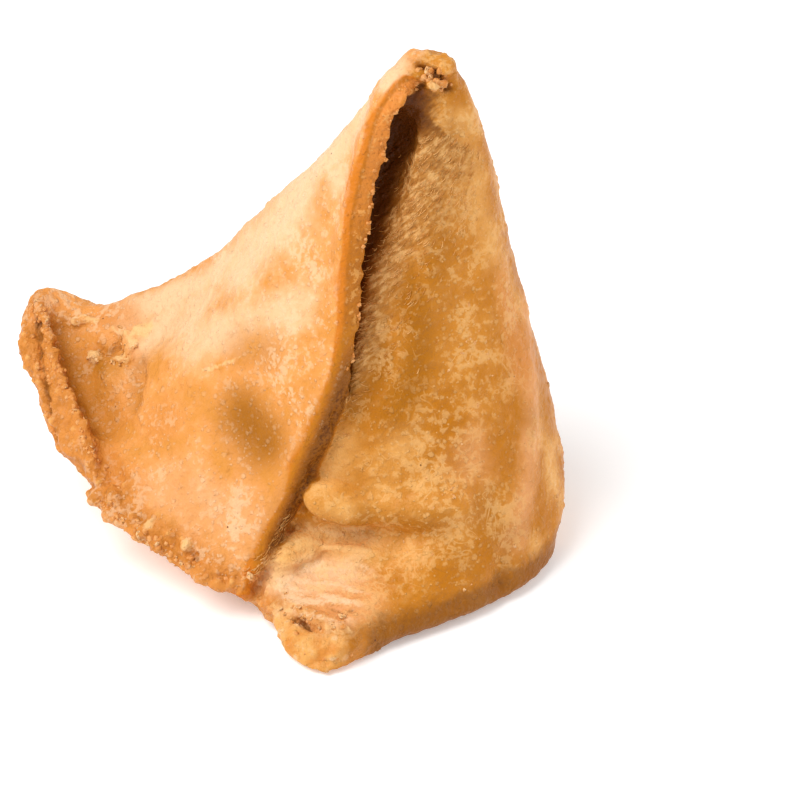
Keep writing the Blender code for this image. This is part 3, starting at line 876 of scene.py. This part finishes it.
# The torn skin, the bruise, and the flap's edge: its browned shoulder, cut face, and rolled part in
# painted shade.
look = shell.over(look, 0.8 * (mask("torn") + 0.7 * (fleck - 0.5) + 0.4 * (grain - 0.5)).rise(0.25, 0.65))
look = bark.over(look, 0.35 * patchy("bruise", tone, 0.3, 0.3, 1.1))
look = fold.over(look, 0.95 * patchy("shoulder", fleck, 0.4, 0.10, 0.75))
crumb = biscuit.over(tan, mask("upper"))
look = crumb.over(look, 0.9 * patchy("cut", fleck, 0.5, 0.10, 0.95))
look = tan.over(look, 0.8 * patchy("groove", fleck, 0.5, 0.2, 0.9))
look = gold.over(look, 0.5 * mask("cut") * (0.5 * fleck + 0.5 * grain).rise(0.52, 0.64))
look = bark.over(look, 0.4 * mask("cut") * grain.rise(0.42, 0.30))
# The rolled part is painted darker toward the gap: painted shade where it rolls away under the flap.
look = amber.over(look, 0.9 * patchy("rolled", fleck, 0.06, 0.0, 0.12))
look = tan.over(look, 0.9 * patchy("rolled", fleck, 0.2, 0.08, 0.35))
look = bark.over(look, 0.9 * patchy("rolled", grain, 0.3, 0.20, 0.85))
look = umber.over(look, 0.6 * mask("rolled").rise(0.8, 1.0) * grain.rise(0.56, 0.40))
# The pale fried marks, everywhere but on the edge's strips and in the gap.
strips = mask("shoulder").most(mask("cut")).most(mask("rolled")).most(mask("gap_brown_and_shade"))
pale = (0.7 * patches).most(0.95 * specks).most(0.8 * veins * mottling.rise(0.45, 0.60))
pale = pale.most(0.5 * mask("bubble")).most(0.75 * dots) * (1.0 - strips)
look = straw.over(look, 0.72 * pale * (0.20 + 0.80 * flaky) * (1.0 - on_flap))
look = cream.over(look, 0.85 * pale * (0.25 + 0.75 * flaky) * on_flap)
# The fuzzy face behind the flap, and the gap behind the flap, its brown crust darkened with painted
# shade.
tuft = 0.35 * mask("hair") + 0.65 * wisp
look = dusty.over(look, 0.7 * fuzzy)
look = straw.over(look, 0.65 * fuzzy * tuft.rise(0.46, 0.64))
look = bark.over(look, 0.45 * fuzzy * tuft.rise(0.47, 0.34))
# Painted shade in the gap behind the flap.
look = bark.over(look, 0.92 * (mask("gap_brown_and_shade") + 0.9 * (0.5 - tuft)).rise(0.05, 0.60))
look = umber.over(look, 0.85 * (mask("gap_brown_and_shade") + 0.4 * (0.5 - tuft)).rise(0.40, 1.0))
# Painted shade in the pressed cracks, holes and creases and along the bottom edge, and a few dark pits.
look = bark.over(look, 0.8 * patchy("crack_shade", fleck, 0.6, 0.15, 0.5))
look = umber.over(look, 0.85 * patchy("crack_shade", fleck, 0.6, 0.45, 0.8))
# Painted shade along the bottom edge.
look = bark.over(look, 0.85 * patchy("base_shade", fleck, 0.9, 0.15, 1.0))
pits = spot.cells(3.3).rise(0.055, 0.035) * mottling.rise(0.56, 0.60)
look = umber.over(look, 0.8 * pits)

height = fleck + 0.40 * grain + 0.15 * specks + 0.25 * dots
height = height + 0.5 * mask("rim") * fleck + 0.8 * fuzzy * wisp
bump = spot.node("ShaderNodeBump", None, {"Strength": 1.0, "Distance": 0.38 * step, "Height": height})
tree.links.new(look.socket, shader.inputs["Base Color"])
tree.links.new((0.22 + 0.30 * fleck).socket, shader.inputs["Roughness"])
tree.links.new(bump.socket, shader.inputs["Normal"])
shader.inputs["Specular IOR Level"].default_value = 0.14
crust.data.materials.clear()
crust.data.materials.append(dough)
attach(crust, "root")
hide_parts("samosa")

# ---------------------------------------------------------------- the crumbs
# Crumbs of dough that broke from the torn rim, the tip and the foot, and fried on where they stuck.
# One is roughed out of a ball of few faces, and the rest are turned and scaled copies of it.
def nearest(at):
    """The crust's place nearest to a place in steps, and the way the crust faces there."""
    _, where, normal, _ = crust.closest_point_on_mesh(place(*at))
    return where, normal


def anywhere(likely, count, seed):
    """Random places on the crust and the way it faces there, more of them where likely is higher."""
    draw = np.random.default_rng(seed)
    chosen = draw.choice(len(points), count, replace=False, p=likely / likely.sum())
    return [(Vector(points[i]) * step, Vector(facing[i])) for i in chosen]


def seat(where, normal, half, lift=0.0, tilt=0.0):
    """How a small piece sits on the crust: with its half sizes, tilted and turned at random."""
    lean = [tilt * chance.uniform(-1.0, 1.0) for _ in range(2)] + [chance.uniform(0.0, math.tau)]
    turn = normal.to_track_quat("Z", "Y") @ Euler(lean).to_quaternion()
    return Matrix.LocRotScale(where + lift * step * normal, turn, Vector(half))


def strew(model, name, seats):
    """Copies the model to each seat and joins the copies into one piece."""
    copies = []
    for matrix in seats:
        made = bpy.data.objects.new(name, model.data.copy())
        made.data.transform(matrix)
        bpy.context.scene.collection.objects.link(made)
        copies.append(made)
    bpy.data.objects.remove(model)
    bpy.ops.object.select_all(action="DESELECT")
    for made in copies:
        made.select_set(True)
    bpy.context.view_layer.objects.active = copies[0]
    bpy.ops.object.join()
    bpy.ops.object.shade_smooth()
    return copies[0]


def rough_ball(rounds, shake, seed):
    """A ball one step in radius, of few faces, with its corners shaken."""
    bpy.ops.object.select_all(action="DESELECT")
    bpy.ops.mesh.primitive_ico_sphere_add(subdivisions=rounds, radius=step, location=place(0, 0, 0))
    bpy.ops.object.mode_set(mode="EDIT")
    bpy.ops.mesh.select_all(action="SELECT")
    bpy.ops.transform.vertex_random(offset=shake * step, uniform=1.0, seed=seed)
    bpy.ops.object.mode_set(mode="OBJECT")
    return bpy.context.object


def flecked_paint(name, under, over, wide, detail, spread, rough, gloss, raised=0.0):
    """A dough paint for small pieces: one colour with flecks of another, which may stand out."""
    made, tree, shader, spot = start_paint(name)
    fleck = spot.cloud(wide, detail, 0.6)
    look = spot.colour(*over).over(spot.colour(*under), fleck.rise(*spread))
    tree.links.new(look.socket, shader.inputs["Base Color"])
    tree.links.new((rough[0] + rough[1] * fleck).socket, shader.inputs["Roughness"])
    if raised:
        inputs = {"Strength": 0.5, "Distance": raised * step, "Height": fleck}
        tree.links.new(spot.node("ShaderNodeBump", None, inputs).socket, shader.inputs["Normal"])
    shader.inputs["Specular IOR Level"].default_value = gloss
    return made


def finish_piece(piece, skin):
    """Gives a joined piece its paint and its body."""
    piece.data.materials.append(skin)
    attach(piece, "root")


bpy.context.view_layer.update()  # before the crust is asked for its nearest places
# Where they lie: a line, how many, the least and the most half size, and how far they stray.
CRUMBS = (
    (RIM_RIDGE, 60, 0.30, 0.70, 0.6),
    (RIM_CRACK, 30, 0.25, 0.50, 0.6),
    (LOW_RIM, 44, 0.30, 0.75, 0.9),
    (((-26.6, -4.4, 10.6), (-24.8, -4.2, 12.0)), 24, 0.15, 0.45, 1.0),
    (TIP_TEAR, 26, 0.25, 0.65, 1.0),
    (((17.6, 6.3, 73.5), (18.6, 6.2, 76.5)), 10, 0.15, 0.40, 0.4),
    (FOOT_LIP, 8, 0.25, 0.50, 1.0),
    (FOOT_CRACK, 5, 0.20, 0.40, 0.5),
    (FOOT_LOBE, 8, 0.25, 0.50, 0.8),
    (TORN_LOW, 12, 0.15, 0.35, 0.3),
    (((-6.0, -16.6, 7.4), (-3.4, -17.0, 6.6)), 14, 0.15, 0.40, 0.5),
)
seats = []
for line, count, least, most, stray in CRUMBS:
    for _ in range(count):
        at = along(line, chance.random()) + [chance.uniform(-stray, stray) for _ in range(3)]
        big = chance.uniform(least, most)
        half = [big * chance.uniform(0.6, 1.0) for _ in range(3)]
        seats.append(seat(*nearest(at), half, -0.25 * big))
EDGE_CRUMBS = 40  # so many more lie along the flap's cut edge,
EDGE_START, EDGE_END = 78, 172  # between these notches of the seam
for _ in range(EDGE_CRUMBS):
    here = chance.randrange(EDGE_START, EDGE_END)
    out = across[here] * chance.uniform(0.9, 1.9)
    back = outward[here] * thick_at(shares[here]) * chance.uniform(0.7, 1.1)
    at = edge[here] + out - back
    big = chance.uniform(0.12, 0.42)
    half = [big * chance.uniform(0.5, 1.0) for _ in range(3)]
    seats.append(seat(*nearest(at), half, 0.0))
crumbs = strew(rough_ball(2, 0.25, 4), "crumbs", seats)
crumb_paint = flecked_paint(
    "crumb_crust",
    under=(0.66, 0.25, 0.05),
    over=(0.78, 0.38, 0.13),
    wide=0.9,
    detail=3.0,
    spread=(0.42, 0.66),
    rough=(0.40, 0.25),
    gloss=0.3,
    raised=0.2,
)
finish_piece(crumbs, crumb_paint)

# ---------------------------------------------------------------- the flakes
# Thin flakes of the outermost dough that lifted in the oil. They stand on the burst blister's torn
# skin, the rim, the tip and the foot, and small ones lie on the open faces. One rough ball of few
# faces is copied, and each copy is flattened and laid on the crust or tilted up from it.
# A line, how many, the least and the most half size, how far they stray, and how far they tilt.
FLAKES = (
    (TORN_LOW, 8, 0.35, 0.70, 0.2, 0.6),
    (TORN_SIDE, 4, 0.35, 0.60, 0.2, 0.6),
    (RIM_RIDGE, 20, 0.30, 0.60, 0.5, 0.7),
    (LOW_RIM, 20, 0.30, 0.70, 0.8, 0.6),
    (TIP_TEAR, 8, 0.40, 0.80, 0.5, 1.0),
    (FOOT_LIP, 12, 0.30, 0.70, 0.8, 0.6),
)
# The few large ones: a place, half sizes and a tilt.
LARGE_FLAKES = (
    ((-4.9, -16.8, 7.4), (0.9, 0.5, 0.20), 0.4),
    ((8.3, -23.7, 5.6), (0.8, 0.6, 0.22), 0.2),
    ((38.3, 9.1, 22.8), (0.5, 0.35, 0.20), 0.4),
)
seats = []
for line, count, least, most, stray, tilt in FLAKES:
    for _ in range(count):
        at = along(line, chance.random()) + [chance.uniform(-stray, stray) for _ in range(3)]
        big = chance.uniform(least, most)
        half = (big, big * chance.uniform(0.4, 0.9), 0.08 + 0.10 * big * tilt)
        seats.append(seat(*nearest(at), half, 0.0, tilt))
for at, half, tilt in LARGE_FLAKES:
    seats.append(seat(*nearest(at), half, 0.3 * half[2], tilt))
# Small ones on the face right of the seam, most where it flaked most, and some on the foot.
open_face = (1.0 - rim) * (1.0 - behind) * (points[:, 2] > 3.0) * (points[:, 0] > seam_x + 2.0)
for where, normal in anywhere(open_face * flaking**3 + 0.3 * foot, 90, 51):
    big = chance.uniform(0.12, 0.35)
    seats.append(seat(where, normal, (big, big * chance.uniform(0.5, 0.9), 0.06), 0.0, 0.06))
flakes = strew(rough_ball(2, 0.35, 9), "flakes", seats)
flake_paint = flecked_paint(
    "flake_crust",
    under=(0.72, 0.32, 0.09),
    over=(0.86, 0.52, 0.24),
    wide=0.7,
    detail=3.0,
    spread=(0.40, 0.65),
    rough=(0.42, 0.25),
    gloss=0.3,
    raised=0.15,
)
finish_piece(flakes, flake_paint)

# ---------------------------------------------------------------- the fibres
# Fine dry threads of dough, drawn out where the flap lifted off the face behind it as it fried.
# One bent, tapering thread is extruded, and the rest are copies that lie along the surface.
THREAD_HALF = 0.10  # half its thickness at its root
THREAD_JOINTS = 4
bpy.ops.object.select_all(action="DESELECT")
bpy.ops.mesh.primitive_circle_add(
    vertices=4, radius=THREAD_HALF * step, fill_type="NGON", location=place(0, 0, 0)
)
bpy.ops.object.mode_set(mode="EDIT")
bpy.ops.mesh.select_all(action="SELECT")
for n in range(THREAD_JOINTS):
    on = (0.06 * n * step, 0.0, 0.25 * step)
    bpy.ops.mesh.extrude_region_move(TRANSFORM_OT_translate={"value": on})
    bpy.ops.transform.resize(value=(0.75, 0.75, 0.75))
bpy.ops.mesh.select_all(action="SELECT")
bpy.ops.mesh.normals_make_consistent(inside=False)
bpy.ops.object.mode_set(mode="OBJECT")
thread = bpy.context.object


def strand(where, normal, way, long):
    """How a thread grows from a place on the crust: along a way, and a little off the surface."""
    way = Vector(way) + Vector([chance.uniform(-0.35, 0.35) for _ in range(3)])
    way = (way - way.dot(normal) * normal).normalized() + chance.uniform(0.05, 0.30) * normal
    thin = chance.uniform(0.5, 1.0)
    return Matrix.LocRotScale(where, way.to_track_quat("Z", "X"), Vector((thin, thin, long)))


# They grow on the fuzzy face behind the flap's upper half, then in the gap beside its lower half,
# then at its foot: where, how many, a seed, the way they lie, and the least and the most length.
fronted = facing[:, 1] < -0.2
inside = behind * ease(0.97, 0.90, share) * fronted
fuzzy_face = inside * upper * ease(9.0, 4.0, beyond) * ease(0.0, 2.0, beyond)
low_gap = inside * (1.0 - upper) * ease(2.5, 0.5, beyond) * ease(0.25, 0.45, share)
gap_foot = near(points, ((-4.0, -16.0, 8.0), (0.2, -13.6, 14.0)), 1.0) * fronted
THREADS = (
    (fuzzy_face, 380, 52, (0.75, -0.1, 0.65), 0.4, 1.2),
    (low_gap, 200, 53, (0.95, -0.3, 0.1), 0.5, 1.5),
    (gap_foot, 70, 54, (0.8, 0.1, 0.5), 0.6, 1.6),
)
seats = []
for likely, count, seed, way, least, most in THREADS:
    for where, normal in anywhere(likely, count, seed):
        seats.append(strand(where, normal, way, chance.uniform(least, most)))
fibres = strew(thread, "fibres", seats)
fibre_paint = flecked_paint(
    "dry_dough",
    under=(0.56, 0.22, 0.04),
    over=(0.80, 0.44, 0.15),
    wide=2.0,
    detail=2.0,
    spread=(0.40, 0.60),
    rough=(0.55, 0.20),
    gloss=0.2,
)
finish_piece(fibres, fibre_paint)
